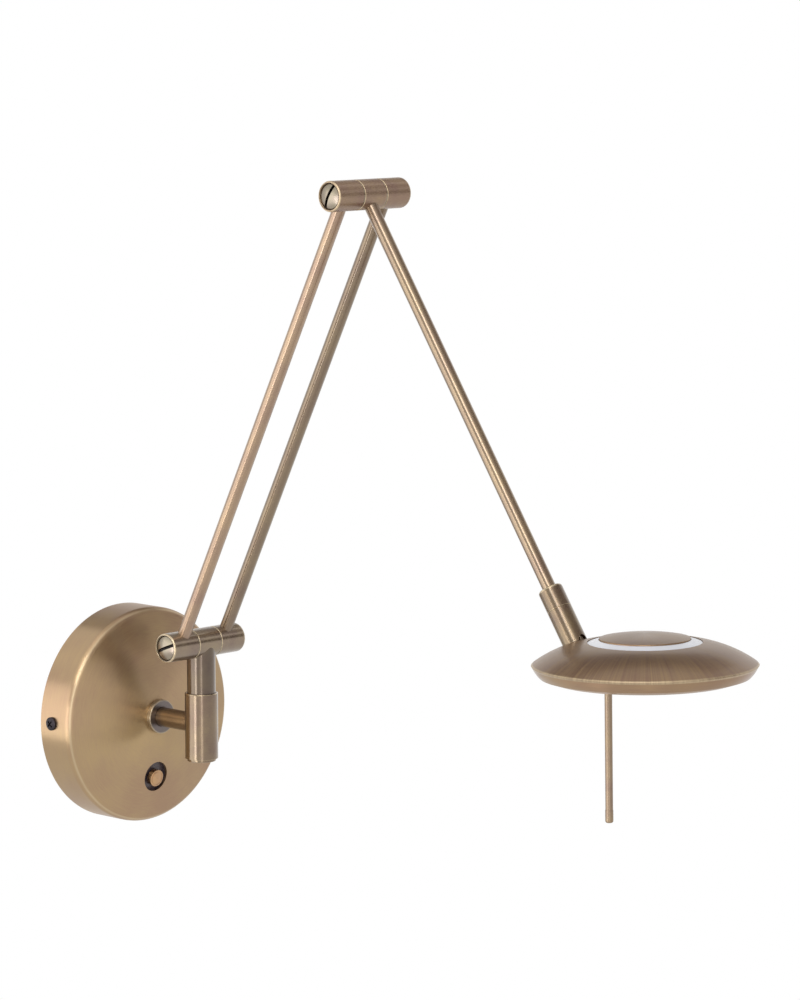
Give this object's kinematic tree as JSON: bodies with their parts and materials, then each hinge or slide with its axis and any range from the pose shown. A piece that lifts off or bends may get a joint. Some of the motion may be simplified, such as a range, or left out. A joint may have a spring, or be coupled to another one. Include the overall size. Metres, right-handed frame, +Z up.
{
  "type": "wall reading lamp",
  "caption": "Wall reading lamp: round canopy with push dimmer, swivel post, twin-rod lower arm, single-rod upper arm and a flat round head with reading light and uplight.",
  "frame": {"origin": "centre of the wall bracket's back, on the wall plane and on the round canopy's axis", "axes": "+Y into the wall, so the lamp stands out along -Y; +Z up; +X along the hinge axes. At rest both arms lie in the plane X = 0."},
  "size_m": [0.139, 0.4892, 0.4062],
  "materials": {
    "satin_brass": "satin, spun brushing",
    "turned_brass": "satin, turned",
    "tube_brass": "semi-gloss drawn tube",
    "screw_brass": "bright turned",
    "bush_brass": "bright turned",
    "bright_steel": "zinc plated",
    "black_steel": "black oxide",
    "button_metal": "satin anodised",
    "head_aluminium": "plain sheet",
    "opal_plastic": "opal, smooth",
    "white_housing": "fine matte",
    "black_plastic": "fine matte",
    "slide_plastic": "smooth",
    "board_white": "solder mask",
    "chip_yellow": "phosphor",
    "grommet_rubber": "matte"
  },
  "bodies": {
    "wall_body": {"canopy": "satin_brass", "canopy_screws": "black_steel", "wall_bracket": "bright_steel", "cable_grommet": "grommet_rubber", "led_driver": "white_housing", "driver_screws": "bright_steel", "earth_screw": "screw_brass", "terminal_block": "white_housing", "stub_collar": "satin_brass", "stub_tube": "turned_brass", "tooth_washer": "bright_steel", "lock_nut": "screw_brass", "dimmer_bezel": "black_plastic", "dimmer_housing": "black_plastic", "swivel_barrel": "turned_brass", "barrel_end_cap": "turned_brass", "thrust_washer": "slide_plastic"},
    "button_body": {"dimmer_button": "button_metal"},
    "post_body": {"swivel_post": "turned_brass", "disc_washer": "bright_steel", "post_screw": "bright_steel", "post_knuckle": "turned_brass", "lower_hinge_bushes": "bush_brass"},
    "lower_arm_body": {"lower_near_barrel": "turned_brass", "lower_far_barrel": "turned_brass", "lower_hinge_screw": "screw_brass", "near_rod": "tube_brass", "far_rod": "tube_brass", "elbow_near_barrel": "turned_brass", "elbow_far_barrel": "turned_brass", "elbow_hinge_screw": "screw_brass"},
    "upper_arm_body": {"elbow_knuckle": "turned_brass", "elbow_bushes": "bush_brass", "upper_rod": "tube_brass", "joint_sleeve": "turned_brass", "swivel_nipple": "turned_brass", "swivel_washer": "slide_plastic"},
    "joint_body": {"joint_tube": "turned_brass", "tilt_pin": "bright_steel", "lug_spacers": "bush_brass"},
    "head_body": {"head_lug": "turned_brass", "lug_screws": "bright_steel", "upper_shell": "satin_brass", "lower_shell": "satin_brass", "carrier_plate": "head_aluminium", "shell_screws": "bright_steel", "centre_cap": "satin_brass", "cap_stud": "bright_steel", "uplight_diffuser": "opal_plastic", "uplight_board": "board_white", "uplight_chips": "chip_yellow", "light_board": "board_white", "light_chips": "chip_yellow", "lower_diffuser": "opal_plastic", "guide_rod": "tube_brass", "guide_rod_nut": "bright_steel", "guide_rod_collar": "turned_brass", "guide_rod_tip": "turned_brass"}
  },
  "joints": [
    {"name": "button_press", "type": "slide", "parent": "wall_body", "child": "button_body", "axis": [0, 0.9855, 0.1696], "range_m": [0, 0.0012], "stiffness_N_per_m": 900, "springref_m": -0.0012},
    {"name": "post_swivel", "type": "hinge", "parent": "wall_body", "child": "post_body", "pos_m": [0, -0.0724, 0], "axis": [0, 0, 1], "range_deg": [-80, 80]},
    {"name": "lower_arm_hinge", "type": "hinge", "parent": "post_body", "child": "lower_arm_body", "pos_m": [0, -0.0724, 0.05065], "axis": [1, 0, 0], "range_deg": [-25, 60]},
    {"name": "elbow_hinge", "type": "hinge", "parent": "lower_arm_body", "child": "upper_arm_body", "pos_m": [0, -0.21261, 0.33004], "axis": [1, 0, 0], "range_deg": [-110, 20]},
    {"name": "head_swivel", "type": "hinge", "parent": "upper_arm_body", "child": "joint_body", "pos_m": [0, -0.36881, 0.09477], "axis": [0, 0.5531, 0.8331], "range_deg": [-165, 165]},
    {"name": "head_tilt", "type": "hinge", "parent": "joint_body", "child": "head_body", "pos_m": [0, -0.36881, 0.09477], "axis": [1, 0, 0], "range_deg": [0, 60]}
  ]
}
